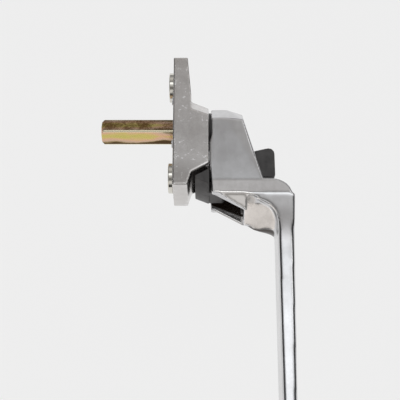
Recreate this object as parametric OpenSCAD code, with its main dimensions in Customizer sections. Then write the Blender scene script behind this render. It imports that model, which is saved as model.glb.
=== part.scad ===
// Window handle with a thumb latch, on a cast base plate with two rear fixing lugs.
// X points out of the window into the room, Z is up, and the origin lies on the
// spindle axis at the back face of the base plate. Lengths are in millimetres.

/* [Base plate] */
// Height of the base plate
plate_h = 58.8; // [54:0.2:76]
// Width of the base plate
plate_w = 26; // [25:0.5:34]
// Thickness of the plate at its two ends
plate_end_t = 6.1; // [5.6:0.1:7.4]
// Thickness of the plate where it meets the hub
plate_mid_t = 7.6; // [7.4:0.1:9]
// Spacing of the two fixing lugs
lug_spacing = 43; // [42:0.5:46]
// Outside diameter of a fixing lug
lug_d = 13; // [9:0.5:13]
// How far a lug stands proud of the back face
lug_proud = 2.1; // [1:0.1:4]
// Threaded bore of a lug
lug_bore_d = 4.2; // [3.3:0.1:5]

/* [Hub] */
// Distance from the back face to the front of the hub
hub_front = 15; // [14:0.2:20]
// Radius of the rounded hub foot where it leaves the plate
foot_back_r = 27.1; // [26.5:0.1:28.5]
// Radius of the rounded hub foot at the hub front
foot_front_r = 23.5; // [21:0.1:25]
// Height of the hub crown at the plate
crown_back_z = 12.1; // [11.5:0.1:14]
// Height of the hub crown at the hub front
crown_front_z = 8.9; // [8.6:0.1:11]

/* [Lever] */
// Running gap between the hub and the neck
neck_gap = 1; // [0.8:0.1:1.6]
// Width of the neck across its flat sides
neck_w = 23; // [21:0.5:25]
// Height of the neck crown above the spindle axis
neck_crown_z = 8.3; // [8:0.1:10]
// Length of the neck along the spindle at its top
neck_top_len = 13.4; // [12:0.2:18]
// Width across the crease below the neck
crease_w = 26; // [25:0.5:30]
// Depth of the crease below the spindle axis
crease_z = 32.6; // [32:0.2:36]
// Distance from the back face to the outer face of the grip at its top
grip_top_x = 49.9; // [49:0.2:60]
// Thickness of the grip at its top
grip_top_t = 7.3; // [6:0.1:9]
// Thickness of the grip near its end
grip_end_t = 5.4; // [4:0.1:7]
// Width of the grip
grip_w = 18; // [17:0.5:24]
// Depth of the end of the grip below the spindle axis
grip_end_z = 132; // [115:1:160]
// Depth of the keel's ridge below the crease where it meets the grip
keel_drop = 11.8; // [10:0.2:13]
// Length of the open hollow under the arm, from the back of the neck
hollow_len = 13.3; // [11:0.1:14]

/* [Spindle] */
// Size of the square spindle across its flats
spindle_sq = 8; // [7:0.1:8]
// Length of spindle behind the base plate
spindle_proud = 30.9; // [15:0.5:60]
// Turn of the square about the spindle axis, in degrees
spindle_turn = 65; // [0:1:90]
// Bevel at the tip of the spindle
spindle_bevel = 1; // [0.4:0.1:1.4]

/* [Latch] */
// Width of the latch block under the hub
block_w = 24.8; // [18:0.2:25]
// Width of the latch arm inside the neck
arm_w = 10; // [8:0.2:10.4]
// Distance from the back face to the end of the thumb tab
tab_reach = 42.8; // [42:0.2:46]
// Distance from the back face to the latch pivot
pivot_x = 26.5; // [26:0.1:27.5]
// Depth of the latch pivot below the spindle axis
pivot_z = 24; // [23:0.1:25]
// Diameter of the latch pivot pin
pivot_d = 2.5; // [2:0.1:3]

/* [Bearing] */
// Diameter of the drive sleeve that turns in the hub
sleeve_d = 13.2; // [12.8:0.1:13.4]
// Wall of the plain bearing bush
bush_wall = 0.8; // [0.6:0.1:0.9]
// Diameter of the index disc
index_d = 21.6; // [21:0.2:22]
// Diameter of a detent ball
ball_d = 3; // [2.5:0.1:3]

/* [Hidden] */
$fn = 64;

// Clearances: a running fit, a seated fit, an open gap and a free pocket
run_fit = 0.05;
seat_fit = 0.02;
open_gap = 0.4;
pocket_gap = 1;
far = 20;
cut = 1;
thin = 0.02;

// Hub and plate
plate_half = plate_w / 2;
lug_z = lug_spacing / 2;
lug_rim = 2;
lug_shank_d = lug_d - 2 * lug_rim;
lug_seat = 3.4;
lug_bore_depth = 4.6;
hub_side_back_z = 4.9;
hub_side_front_z = 2.1;
crown_half = 5;
foot_slope = (foot_back_r - foot_front_r) / (hub_front - plate_mid_t);

// Bearing and index
sleeve_r = sleeve_d / 2;
bush_bore_r = sleeve_r + run_fit;
bush_r = bush_bore_r + bush_wall;
hub_bore_r = bush_r + seat_fit;
flange_t = neck_gap - run_fit - seat_fit * 2;
flange_r = bush_r + 0.7;
cover_t = 0.8;
cover_side = plate_w - 2;
cover_screw_at = cover_side / 2 - 2.1;
cover_screw_r = 0.9;
cover_screw_len = 4.4;
cover_hole_r = sleeve_r + open_gap;
index_r = index_d / 2;
index_t = 2;
recess_r = index_r + open_gap;
ring_t = 0.8;
washer_t = 0.4;
ring_r = sleeve_r + 1.6;
groove_depth = 0.7;
ring_x = cover_t + 0.3;
washer_x = ring_x + ring_t + seat_fit;
index_x = washer_x + washer_t + seat_fit;
recess_x = index_x + index_t + 0.3;
sleeve_x = ring_x - 0.3;
pin_r = 1.25;
pin_half = sleeve_r - 0.4;
pin_x = hub_front + neck_gap + 4;
ball_r = ball_d / 2;
ball_bore_r = ball_r + 0.06;
ball_at = hub_bore_r + ball_bore_r + 0.25;
ball_x = index_x + index_t + ball_r + run_fit;
ball_bore_floor = 3;
ball_bore_end = hub_front - ball_bore_floor;
detent_wire_r = ball_d * 0.07;
detent_coil_r = ball_r - 2 * detent_wire_r;

// Lever
neck_back = hub_front + neck_gap;
neck_half = neck_w / 2;
neck_side_z = 1.2;
neck_foot_z = 26.8;
neck_top_front = neck_back + neck_top_len;
neck_front_run = 7.9;
neck_crown_drop = 2.4;
neck_crown_flat = 6.6;
crease_half = crease_w / 2;
shoulder_r = 7.4;
shoulder_x = grip_top_x - 1.3 - shoulder_r;
grip_half = grip_w / 2;
grip_in_x = grip_top_x - grip_top_t;
grip_draft = 2.6;
grip_tip_x = grip_top_x - grip_draft;
grip_flare = 15;
grip_neck_z = crease_z + grip_flare;
elbow_r = 8;
elbow_z = crease_z + elbow_r + 3.4;
elbow_lead = 13.6;
elbow_touch_x = grip_in_x - elbow_r + elbow_r * sin(25);
elbow_touch_z = elbow_z - elbow_r * cos(25);
keel_half_top = crease_half - 0.4;
keel_half_low = grip_half + 0.2;
keel_z = crease_z + keel_drop;
keel_back_z = crease_z + 2.8;
keel_knee_run = 10;
keel_knee_x = grip_in_x - keel_knee_run;
keel_slope = atan2(keel_z - keel_back_z, keel_knee_x - neck_back);
keel_vee = 17;
flank_vee = 42;
flank_x = neck_back + hollow_len;
wall_run = 1.6;
facet_slope = 12;
facet_r = 2.6;
facet_x = grip_in_x - facet_r;
facet_z = keel_z + (facet_x - keel_knee_x) * tan(facet_slope) + facet_r / cos(facet_slope);
hollow_half = grip_half + 0.4;
hollow_top_z = neck_foot_z + open_gap;
neck_wall = 3.4;
socket_floor = 1;
sleeve_end = neck_top_front - neck_wall;
socket_end = sleeve_end - socket_floor;

// Latch
block_x = plate_mid_t + 1.7;
block_front = neck_back - 0.9;
block_gap = 1.5;
tooth_gap = 0.5;
tooth_half = 4;
tooth_bite = 1.9;
block_back_r = foot_back_r + 1.8;
block_front_r = foot_back_r + 4;
arm_half = arm_w / 2;
slot_half = arm_half + 0.5;
root_half = arm_half + 1.5;
root_top_z = hollow_top_z + 1.3;
root_low_z = root_top_z + 2;
root_len = 6;
root_end = neck_back + root_len;
boss_r = 4.2;
pocket_back_rise = 6.4;
pocket_mid_rise = 8.4;
tab_half = arm_half - 0.2;
tab_top_z = 9.6;
tab_low_z = 22.6;
tab_round = 2.6;
tab_root_x = neck_top_front + 3.2;
pin_far_end = neck_half - 0.3;
pin_near_end = neck_half - 2;
spring_inset = 4.6;
spring_x = neck_back + spring_inset;
spring_wire_r = 0.28;
spring_coil_r = 1.7;
spring_bore_r = spring_coil_r + spring_wire_r + open_gap;
spring_low_z = pivot_z - 1.9;
spring_top_z = sleeve_r + 3.4;

// Places a profile drawn in X and Z, with its thickness centred on the mid plane
module side_profile(width) {
    rotate([90, 0, 0]) linear_extrude(width, center = true) children();
}

// Places a profile drawn in Y and Z, running out from the given distance
module front_profile(from, length) {
    translate([from, 0, 0]) rotate([90, 0, 90]) linear_extrude(length) children();
}

// Places a profile or solid so that its own Z runs along X
module along_x(from) {
    translate([from, 0, 0]) rotate([0, 90, 0]) children();
}

// Five-sided arch: two upright sides, two slopes and a flat crown
module arch(half, side_z, crown, crown_z, low_z) {
    polygon([[-half, -low_z], [half, -low_z], [half, side_z], [crown, crown_z], [-crown, crown_z],
        [-half, side_z]]);
}

// Points of a ring of wire round a helix, for the coil below
function coil_ring(coil_r, wire_r, turns, length, step, steps, sides) =
    let (turn = 360 * turns * step / steps, rise = length * step / steps)
    [for (side = [0 : sides - 1])
        let (round = coil_r + wire_r * cos(360 * side / sides))
        [round * cos(turn), round * sin(turn), rise + wire_r * sin(360 * side / sides)]];

// Round-wire coil spring that stands on the plane below it
module coil(coil_r, wire_r, turns, length) {
    sides = 6;
    steps = turns * 14;
    rings = [for (step = [0 : steps])
        coil_ring(coil_r, wire_r, turns, length - 2 * wire_r, step, steps, sides)];
    points = [for (ring = rings) for (point = ring) point + [0, 0, wire_r]];
    walls = [for (step = [0 : steps - 1]) for (side = [0 : sides - 1])
        let (next = (side + 1) % sides, base = step * sides)
        [base + side, base + sides + side, base + sides + next, base + next]];
    ends = [[for (side = [0 : sides - 1]) side], [for (side = [sides - 1 : -1 : 0]) steps * sides + side]];
    polyhedron(points, concat(walls, ends), convexity = 10);
}

// Square bar of the spindle with its four edges broken, along Z
module spindle_bar(size, length) {
    intersection() {
        translate([-size / 2, -size / 2, 0]) cube([size, size, length]);
        cylinder(r = size * 0.665, h = length);
    }
}

// Solid body of the plate and hub
module base_body() {
    side_profile(plate_w) polygon([[0, -plate_h / 2], [plate_end_t, -plate_h / 2],
        [plate_mid_t, -foot_back_r + 2.7], [plate_mid_t, crown_back_z], [plate_end_t, plate_h / 2],
        [0, plate_h / 2]]);
    intersection() {
        hull() {
            front_profile(plate_mid_t - cut, thin)
                arch(plate_half, hub_side_back_z + 0.4, crown_half, crown_back_z + 0.4, plate_h / 2);
            front_profile(hub_front - thin, thin)
                arch(plate_half, hub_side_front_z, crown_half, crown_front_z, plate_h / 2);
        }
        along_x(plate_mid_t - cut) cylinder(r1 = foot_back_r + foot_slope * cut, r2 = foot_front_r,
            h = hub_front - plate_mid_t + cut, $fn = 128);
    }
}

module base_plate() {
    color("#8f9192") difference() {
        base_body();
        along_x(-cut) cylinder(r = hub_bore_r, h = hub_front + 2 * cut);
        along_x(cover_t) cylinder(r = recess_r, h = recess_x - cover_t);
        translate([-cut, -cover_side / 2 - seat_fit, -cover_side / 2 - seat_fit])
            cube([cover_t + cut, cover_side + 2 * seat_fit, cover_side + 2 * seat_fit]);
        for (side = [-1, 1]) {
            translate([0, 0, side * lug_z]) along_x(-cut)
                cylinder(d = lug_shank_d + 2 * seat_fit, h = lug_seat + cut);
            translate([0, side * ball_at, 0]) along_x(recess_x - cut)
                cylinder(r = ball_bore_r, h = ball_bore_end - recess_x + cut);
            for (end = [-1, 1]) translate([0, side * cover_screw_at, end * cover_screw_at])
                along_x(cover_t - cut) cylinder(r = cover_screw_r + run_fit, h = cover_screw_len + cut);
        }
        keeper_notch();
    }
}

// Notch in the foot of the hub that the latch tooth enters when the lever is closed
module keeper_notch() {
    notch_x = block_x - 0.8;
    notch_half = tooth_half + 0.6;
    notch_deep = foot_back_r - foot_front_r + tooth_bite + 1.2;
    translate([notch_x, -notch_half, -foot_back_r - cut])
        cube([hub_front - notch_x + cut, 2 * notch_half, notch_deep + cut]);
}

module fixing_lugs() {
    color("#c9c4b6") for (side = [-1, 1]) translate([0, 0, side * lug_z]) along_x(-lug_proud)
        difference() {
            union() {
                cylinder(d = lug_d, h = lug_proud);
                cylinder(d = lug_shank_d, h = lug_proud + lug_seat);
            }
            translate([0, 0, -cut]) cylinder(d = lug_bore_d, h = lug_bore_depth + cut);
        }
}

module bearing_bush() {
    color("#1c1c1d") difference() {
        union() {
            along_x(recess_x + seat_fit) cylinder(r = bush_r, h = hub_front - recess_x);
            along_x(hub_front + seat_fit) cylinder(r = flange_r, h = flange_t);
        }
        along_x(0) cylinder(r = bush_bore_r, h = neck_back + cut);
    }
}

module detent_balls() {
    color("#d0d3d6") for (side = [-1, 1]) translate([ball_x, side * ball_at, 0]) sphere(d = ball_d);
}

module detent_springs() {
    color("#a9abad") for (side = [-1, 1]) translate([ball_x + ball_r + run_fit, side * ball_at, 0])
        along_x(0) coil(detent_coil_r, detent_wire_r, 5, ball_bore_end - ball_x - ball_r - 2 * run_fit);
}

module rear_cover() {
    color("#b4b7ba") difference() {
        translate([0, -cover_side / 2, -cover_side / 2]) cube([cover_t, cover_side, cover_side]);
        along_x(-cut) cylinder(r = cover_hole_r, h = cover_t + 2 * cut);
        for (y = [-1, 1], z = [-1, 1]) translate([0, y * cover_screw_at, z * cover_screw_at])
            along_x(-cut) cylinder(r = cover_screw_r + run_fit, h = cover_t + 2 * cut);
    }
}

module cover_screws() {
    head_t = 0.5;
    slot_w = 0.5;
    color("#9a9da0") for (y = [-1, 1], z = [-1, 1]) translate([0, y * cover_screw_at, z * cover_screw_at])
        difference() {
            union() {
                along_x(-head_t - seat_fit) cylinder(r = cover_screw_r * 1.9, h = head_t);
                along_x(-head_t) cylinder(r = cover_screw_r, h = head_t + cover_screw_len);
            }
            translate([-head_t - cut, -slot_w / 2, -2]) cube([cut + head_t / 2, slot_w, 4]);
        }
}

// Neck above the shoulder: sloping crown, upright sides and a raked front
module neck_body() {
    hull() {
        front_profile(neck_back, thin) arch(neck_half, neck_side_z, crown_half, neck_crown_z, neck_foot_z);
        front_profile(neck_back + neck_crown_flat, thin)
            arch(neck_half, neck_side_z, crown_half, neck_crown_z, neck_foot_z);
        front_profile(neck_top_front, thin)
            arch(neck_half - 0.5, neck_side_z - 0.4, crown_half, neck_crown_z - neck_crown_drop, neck_foot_z);
        translate([neck_top_front + neck_front_run, 0, -neck_foot_z]) translate([-thin, -neck_half, 0])
            cube([thin, neck_w, thin]);
    }
}

// Shoulder between the neck and the crease, flared towards the crease and rounded at the front
module shoulder_body() {
    intersection() {
        side_profile(crease_w) {
            polygon([[neck_back, -neck_foot_z], [neck_top_front + neck_front_run, -neck_foot_z + 1],
                [shoulder_x, -crease_z + shoulder_r - 0.7], [shoulder_x, -crease_z], [neck_back, -crease_z]]);
            intersection() {
                translate([shoulder_x, -crease_z - 0.7]) circle(shoulder_r);
                translate([shoulder_x, -crease_z]) square(shoulder_r * 2);
            }
        }
        front_profile(0, grip_top_x) polygon([[-crease_half, -crease_z], [crease_half, -crease_z],
            [neck_half, -neck_foot_z], [neck_half, 0], [-neck_half, 0], [-neck_half, -neck_foot_z]]);
    }
}

// Space above a vee of the given steepness, whose ridge slopes down along the keel
module vee_space(angle) {
    rise = crease_half * tan(angle);
    translate([neck_back, 0, -keel_back_z]) rotate([0, keel_slope, 0])
        front_profile(-far, grip_top_x + far) polygon([[0, 0], [crease_half, rise], [crease_half, 2 * far],
            [-crease_half, 2 * far], [-crease_half, rise]]);
}

// Part of the space below the neck that lies between two distances from the window
module keel_reach(from, to) {
    translate([from, -crease_half, -keel_z - far]) cube([to - from, crease_w, keel_z + far]);
}

// Keel under the arm: sides tucked in below the crease with a shallow vee below them just past the
// hollow, then steep flanks down to the ridge, and a flat facet where the ridge meets the grip
module keel_body() {
    intersection() {
        side_profile(crease_w) difference() {
            polygon([[neck_back, -crease_z + 1], [neck_back, -keel_back_z], [keel_knee_x, -keel_z],
                [facet_x + facet_r * sin(facet_slope), -facet_z + facet_r * cos(facet_slope)],
                [grip_in_x, -facet_z], [grip_in_x + 1, -facet_z], [grip_in_x + 1, -crease_z + 1]]);
            translate([facet_x, -facet_z]) circle(facet_r);
        }
        front_profile(0, grip_top_x) polygon([[-keel_half_top, -crease_z + 1], [keel_half_top, -crease_z + 1],
            [keel_half_top, -crease_z], [keel_half_low, -keel_z], [keel_half_low, -keel_z - far],
            [-keel_half_low, -keel_z - far], [-keel_half_low, -keel_z], [-keel_half_top, -crease_z]]);
        union() {
            intersection() {
                vee_space(keel_vee);
                difference() {
                    keel_reach(0, flank_x + wall_run);
                    translate([flank_x, -hollow_half, -keel_z - far]) cube([far, 2 * hollow_half, 2 * far]);
                }
            }
            intersection() {
                vee_space(flank_vee);
                keel_reach(flank_x - thin, grip_top_x);
            }
        }
    }
}

// Grip bar with its elbow gusset, tapering in thickness towards a round end
module grip_body() {
    intersection() {
        side_profile(crease_w) {
            polygon([[grip_in_x, -crease_z], [grip_top_x, -crease_z], [grip_tip_x, -grip_end_z],
                [grip_tip_x - grip_end_t, -grip_end_z], [grip_in_x, -elbow_z]]);
            difference() {
                polygon([[grip_in_x - elbow_lead, -crease_z], [grip_in_x + 1, -crease_z],
                    [grip_in_x + 1, -elbow_z], [grip_in_x, -elbow_z], [elbow_touch_x, -elbow_touch_z]]);
                translate([grip_in_x - elbow_r, -elbow_z]) circle(elbow_r);
            }
        }
        front_profile(0, grip_top_x + cut) {
            polygon([[-crease_half, -crease_z], [crease_half, -crease_z], [grip_half, -grip_neck_z],
                [grip_half, -grip_end_z + grip_half], [-grip_half, -grip_end_z + grip_half],
                [-grip_half, -grip_neck_z]]);
            translate([0, -grip_end_z + grip_half]) circle(grip_half);
        }
    }
}

// Space inside the neck for the latch arm, and the wide hollow below it, open behind and below
module latch_pocket() {
    arm_low_z = pivot_z + boss_r + pocket_gap;
    side_profile(2 * slot_half) {
        polygon([[neck_back - cut, -pivot_z + pocket_back_rise], [pivot_x, -pivot_z + pocket_mid_rise],
            [tab_root_x - 2.4, -tab_top_z + 1], [tab_reach + cut, -tab_top_z + 1.4],
            [tab_reach + cut, -tab_low_z - 0.9], [neck_top_front + neck_front_run - 2, -tab_low_z - 0.9],
            [pivot_x + boss_r, -arm_low_z], [neck_back - cut, -crease_z]]);
        translate([pivot_x, -pivot_z]) circle(boss_r + pocket_gap);
    }
    translate([neck_back - cut, -hollow_half, -keel_z - cut])
        cube([hollow_len + cut, 2 * hollow_half, keel_z + cut - hollow_top_z]);
}

module lever() {
    color("#9fa1a2") difference() {
        union() {
            neck_body();
            shoulder_body();
            keel_body();
            grip_body();
        }
        along_x(neck_back - cut) cylinder(r = sleeve_r + seat_fit, h = sleeve_end - neck_back + cut);
        latch_pocket();
        translate([spring_x, 0, -pivot_z]) cylinder(r = spring_bore_r, h = pivot_z - spring_top_z + run_fit);
        translate([pivot_x, neck_half + cut, -pivot_z]) rotate([90, 0, 0])
            cylinder(d = pivot_d + 2 * seat_fit, h = neck_half + cut + pin_near_end);
    }
}

module drive_sleeve() {
    color("#7d7f80") difference() {
        along_x(sleeve_x) cylinder(r = sleeve_r, h = sleeve_end - sleeve_x - seat_fit);
        along_x(sleeve_x - cut) rotate([0, 0, spindle_turn])
            spindle_bar(spindle_sq + 2 * run_fit, socket_end - sleeve_x + cut);
        along_x(ring_x) difference() {
            cylinder(r = sleeve_r + cut, h = ring_t);
            translate([0, 0, -cut]) cylinder(r = sleeve_r - groove_depth, h = ring_t + 2 * cut);
        }
        spindle_pin_bar(pin_half + cut, pin_r + seat_fit);
    }
}

// Cross pin through the sleeve and the spindle, square to one flat
module spindle_pin_bar(half, radius) {
    translate([pin_x, 0, 0]) rotate([spindle_turn, 0, 0]) rotate([90, 0, 0])
        cylinder(r = radius, h = 2 * half, center = true);
}

module spindle() {
    color("#9c8440") difference() {
        intersection() {
            along_x(-spindle_proud) rotate([0, 0, spindle_turn])
                spindle_bar(spindle_sq, spindle_proud + socket_end - open_gap);
            along_x(-spindle_proud) union() {
                cylinder(r1 = spindle_sq * 0.665 - spindle_bevel, r2 = spindle_sq * 0.665 + thin,
                    h = spindle_bevel);
                translate([0, 0, spindle_bevel]) cylinder(r = spindle_sq, h = spindle_proud + socket_end);
            }
        }
        spindle_pin_bar(spindle_sq, pin_r + seat_fit);
    }
}

module spindle_pin() {
    color("#6f7274") spindle_pin_bar(pin_half, pin_r);
}

module index_disc() {
    dimple_depth = 0.5;
    color("#a4a6a8") difference() {
        along_x(index_x) cylinder(r = index_r, h = index_t);
        along_x(index_x - cut) cylinder(r = sleeve_r + seat_fit, h = index_t + 2 * cut);
        for (turn = [0 : 90 : 270]) rotate([turn, 0, 0])
            translate([index_x + index_t + ball_r - dimple_depth, ball_at, 0]) sphere(r = ball_r);
    }
}

module wave_washer() {
    color("#8d8f91") along_x(washer_x) difference() {
        cylinder(r = ring_r, h = washer_t);
        translate([0, 0, -cut]) cylinder(r = sleeve_r + seat_fit, h = washer_t + 2 * cut);
    }
}

module retaining_ring() {
    ring_gap = 3;
    color("#55585b") along_x(ring_x) translate([0, 0, seat_fit / 2]) difference() {
        cylinder(r = ring_r, h = ring_t - seat_fit);
        translate([0, 0, -cut]) cylinder(r = sleeve_r - groove_depth + seat_fit, h = ring_t + 2 * cut);
        translate([-ring_gap / 2, 0, -cut]) cube([ring_gap, ring_r + cut, ring_t + 2 * cut]);
    }
}

module latch_pin() {
    color("#b9bcbf") translate([pivot_x, pin_far_end, -pivot_z]) rotate([90, 0, 0])
        cylinder(d = pivot_d, h = pin_far_end + pin_near_end - thin);
}

module latch_spring() {
    color("#b0b3b6") translate([spring_x, 0, -spring_low_z])
        coil(spring_coil_r, spring_wire_r, 5, spring_low_z - spring_top_z);
}

// Space round the cone of the hub foot, with the given gap
module foot_space(gap) {
    back_r = foot_back_r - foot_slope * (block_x - cut - plate_mid_t);
    along_x(block_x - cut) cylinder(r1 = back_r + gap, r2 = foot_front_r + gap - foot_slope * neck_gap,
        h = neck_back - block_x + cut, $fn = 128);
}

// Latch block under the hub: a rim whose inside follows the hub foot and whose outside
// flares towards the neck, with a tooth that stands higher
module latch_block() {
    tooth_x = block_x + 0.4;
    difference() {
        intersection() {
            along_x(block_x)
                cylinder(r1 = block_back_r, r2 = block_front_r, h = block_front - block_x, $fn = 128);
            translate([block_x - cut, -block_w / 2, -block_front_r - cut])
                cube([block_front - block_x + 2 * cut, block_w, block_front_r + cut - sleeve_r]);
        }
        foot_space(block_gap);
    }
    difference() {
        translate([tooth_x, -tooth_half, -block_back_r + 0.4])
            cube([hub_front - 0.6 - tooth_x, 2 * tooth_half, block_back_r - 0.4 - sleeve_r]);
        foot_space(tooth_gap);
    }
    side_profile(2 * root_half) polygon([[block_front - cut, -root_low_z], [block_front - cut, -root_top_z],
        [root_end - 1, -root_top_z], [root_end, -root_top_z - 0.8], [root_end - 1.2, -root_low_z]]);
}

module thumb_latch() {
    color("#2b2c2e") difference() {
        union() {
            latch_block();
            side_profile(arm_w) {
                polygon([[block_front - 0.3, -root_low_z + 0.6], [block_front - 0.3, -pivot_z - 1.6],
                    [pivot_x - 1, -pivot_z + 1.6], [pivot_x, -pivot_z - boss_r + 0.2]]);
                translate([pivot_x, -pivot_z]) circle(boss_r);
                polygon([[pivot_x - 1.5, -pivot_z + 3.6], [tab_root_x - 1, -tab_top_z - 2.4],
                    [tab_root_x + 3, -tab_low_z + 1.4], [pivot_x + 2.4, -pivot_z - 3]]);
            }
            side_profile(2 * tab_half) hull() {
                translate([tab_root_x - 1, -tab_top_z - 3.2]) circle(1.2);
                translate([tab_reach - tab_round, -tab_top_z - tab_round]) circle(tab_round);
                translate([tab_reach - 1.2, -tab_low_z + 1.2]) circle(1.2);
                translate([tab_root_x + 3, -tab_low_z + 1.2]) circle(1.2);
            }
        }
        translate([pivot_x, 0, -pivot_z]) rotate([90, 0, 0])
            cylinder(d = pivot_d + 2 * run_fit, h = arm_w + 2 * cut, center = true);
    }
}

base_plate();
fixing_lugs();
bearing_bush();
detent_balls();
detent_springs();
rear_cover();
cover_screws();
lever();
drive_sleeve();
spindle();
spindle_pin();
index_disc();
wave_washer();
retaining_ring();
latch_pin();
latch_spring();
thumb_latch();
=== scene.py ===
"""Window handle with a thumb latch: satin plated castings, a passivated spindle and a moulded latch."""

import logging
import math
from dataclasses import dataclass, field, replace
from enum import Enum

import bmesh
import bpy
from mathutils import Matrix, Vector


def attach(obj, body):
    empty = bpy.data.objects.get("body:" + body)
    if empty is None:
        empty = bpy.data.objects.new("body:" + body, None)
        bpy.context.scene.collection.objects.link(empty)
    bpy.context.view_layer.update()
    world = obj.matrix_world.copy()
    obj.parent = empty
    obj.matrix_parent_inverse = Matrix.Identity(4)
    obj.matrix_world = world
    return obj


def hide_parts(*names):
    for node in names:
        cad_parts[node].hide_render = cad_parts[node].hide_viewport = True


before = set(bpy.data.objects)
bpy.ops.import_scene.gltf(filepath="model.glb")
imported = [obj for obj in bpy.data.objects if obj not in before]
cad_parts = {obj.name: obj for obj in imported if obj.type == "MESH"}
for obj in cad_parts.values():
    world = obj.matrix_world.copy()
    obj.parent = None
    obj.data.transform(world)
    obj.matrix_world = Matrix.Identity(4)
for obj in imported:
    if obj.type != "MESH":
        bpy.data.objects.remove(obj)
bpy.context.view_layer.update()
LOG = logging.getLogger("window_handle")
MM = 0.001
MERGE_DISTANCE = 0.002 * MM
FLAT_ANGLE = math.radians(0.6)
SOLID_CREASE = math.radians(28.0)
PATTERN_CREASE = math.radians(35.0)
SMOOTH_FACTOR = 0.5
FLAT_FACE_WEIGHT = 100
STREAK_SHARE = 0.35
GRAIN_HEIGHT = 0.06
SPECK_SPAN = (0.57, 0.68)
CROWD_SPAN = (0.42, 0.56)
STREAK_STRETCH = (7.0, 7.0, 0.8)
RECESS_SAMPLES = 8


class Body(Enum):
    """The three rigid bodies of the handle."""

    BASE = "base"
    LEVER = "lever"
    LATCH = "latch"


class NodeTree:
    """Thin helper that adds linked nodes to a shader or geometry tree."""

    def __init__(self, tree: bpy.types.NodeTree) -> None:
        """Keeps the tree and clears it."""
        self.tree = tree
        self.tree.nodes.clear()

    def add(self, kind: str, **settings: object) -> bpy.types.Node:
        """Adds a node and sets its properties.

        Args:
            kind: Blender's identifier of the node type.
            settings: properties of the node by name.

        Returns:
            The new node.
        """
        node = self.tree.nodes.new(kind)
        for name, value in settings.items():
            setattr(node, name, value)
        return node

    def link(self, source: bpy.types.NodeSocket, target: bpy.types.NodeSocket) -> None:
        """Joins one output to one input."""
        self.tree.links.new(source, target)

    def feed(self, node: bpy.types.Node, **values: object) -> None:
        """Sets or links inputs of a node by their names, with underscores for spaces.

        Args:
            node: the node whose inputs are set.
            values: a constant, or an output socket to link, by input name.
        """
        for name, value in values.items():
            socket = node.inputs[name.replace("_", " ")]
            if isinstance(value, bpy.types.NodeSocket):
                self.link(value, socket)
            else:
                socket.default_value = value


def mottle_group() -> bpy.types.ShaderNodeTree:
    """Builds the shared surface effect: soft blotches, fine grain, faint streaks, specks and recesses.

    Returns:
        A node group that puts out a tint factor, a speck mask, a roughness change, a height and an openness.
    """
    group = bpy.data.node_groups.new("plating_mottle", "ShaderNodeTree")
    sockets = (
        ("Blotch Scale", 140.0),
        ("Grain Scale", 1400.0),
        ("Streak Scale", 60.0),
        ("Speck Scale", 620.0),
        ("Recess Reach", 0.006),
    )
    for name, default in sockets:
        socket = group.interface.new_socket(name, in_out="INPUT", socket_type="NodeSocketFloat")
        socket.default_value = default
    for name in ("Tint", "Specks", "Wear", "Height", "Openness"):
        group.interface.new_socket(name, in_out="OUTPUT", socket_type="NodeSocketFloat")
    tree = NodeTree(group)
    sizes = tree.add("NodeGroupInput")
    place = tree.add("ShaderNodeTexCoord").outputs["Object"]
    blotch = tree.add("ShaderNodeTexNoise")
    tree.feed(blotch, Vector=place, Scale=sizes.outputs["Blotch Scale"], Detail=4.0, Roughness=0.62)
    grain = tree.add("ShaderNodeTexNoise")
    tree.feed(grain, Vector=place, Scale=sizes.outputs["Grain Scale"], Detail=2.0, Roughness=0.5)
    stretch = tree.add("ShaderNodeMapping")
    tree.feed(stretch, Vector=place, Scale=STREAK_STRETCH)
    streak = tree.add("ShaderNodeTexNoise")
    tree.feed(streak, Vector=stretch.outputs["Vector"], Scale=sizes.outputs["Streak Scale"], Detail=3.0,
              Roughness=0.6)
    tint = tree.add("ShaderNodeMath", operation="MULTIPLY_ADD")
    tree.link(streak.outputs["Fac"], tint.inputs[0])
    tint.inputs[1].default_value = STREAK_SHARE
    tree.link(blotch.outputs["Fac"], tint.inputs[2])
    pits = tree.add("ShaderNodeTexNoise")
    tree.feed(pits, Vector=place, Scale=sizes.outputs["Speck Scale"], Detail=3.0, Roughness=0.7)
    few = tree.add("ShaderNodeMapRange", interpolation_type="SMOOTHSTEP")
    tree.feed(few, Value=pits.outputs["Fac"], From_Min=SPECK_SPAN[0], From_Max=SPECK_SPAN[1])
    crowd = tree.add("ShaderNodeMapRange", interpolation_type="SMOOTHSTEP")
    tree.feed(crowd, Value=blotch.outputs["Fac"], From_Min=CROWD_SPAN[0], From_Max=CROWD_SPAN[1])
    specks = tree.add("ShaderNodeMath", operation="MULTIPLY")
    tree.link(few.outputs["Result"], specks.inputs[0])
    tree.link(crowd.outputs["Result"], specks.inputs[1])
    height = tree.add("ShaderNodeMath", operation="MULTIPLY_ADD")
    tree.link(grain.outputs["Fac"], height.inputs[0])
    height.inputs[1].default_value = GRAIN_HEIGHT
    tree.link(specks.outputs[0], height.inputs[2])
    # The ambient occlusion gives the openness, which the finishes use to paint shade into recesses.
    open_sky = tree.add("ShaderNodeAmbientOcclusion", samples=RECESS_SAMPLES, only_local=True)
    tree.link(sizes.outputs["Recess Reach"], open_sky.inputs["Distance"])
    result = tree.add("NodeGroupOutput")
    tree.link(tint.outputs[0], result.inputs["Tint"])
    tree.link(specks.outputs[0], result.inputs["Specks"])
    tree.link(grain.outputs["Fac"], result.inputs["Wear"])
    tree.link(height.outputs[0], result.inputs["Height"])
    tree.link(open_sky.outputs["AO"], result.inputs["Openness"])
    return group


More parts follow.
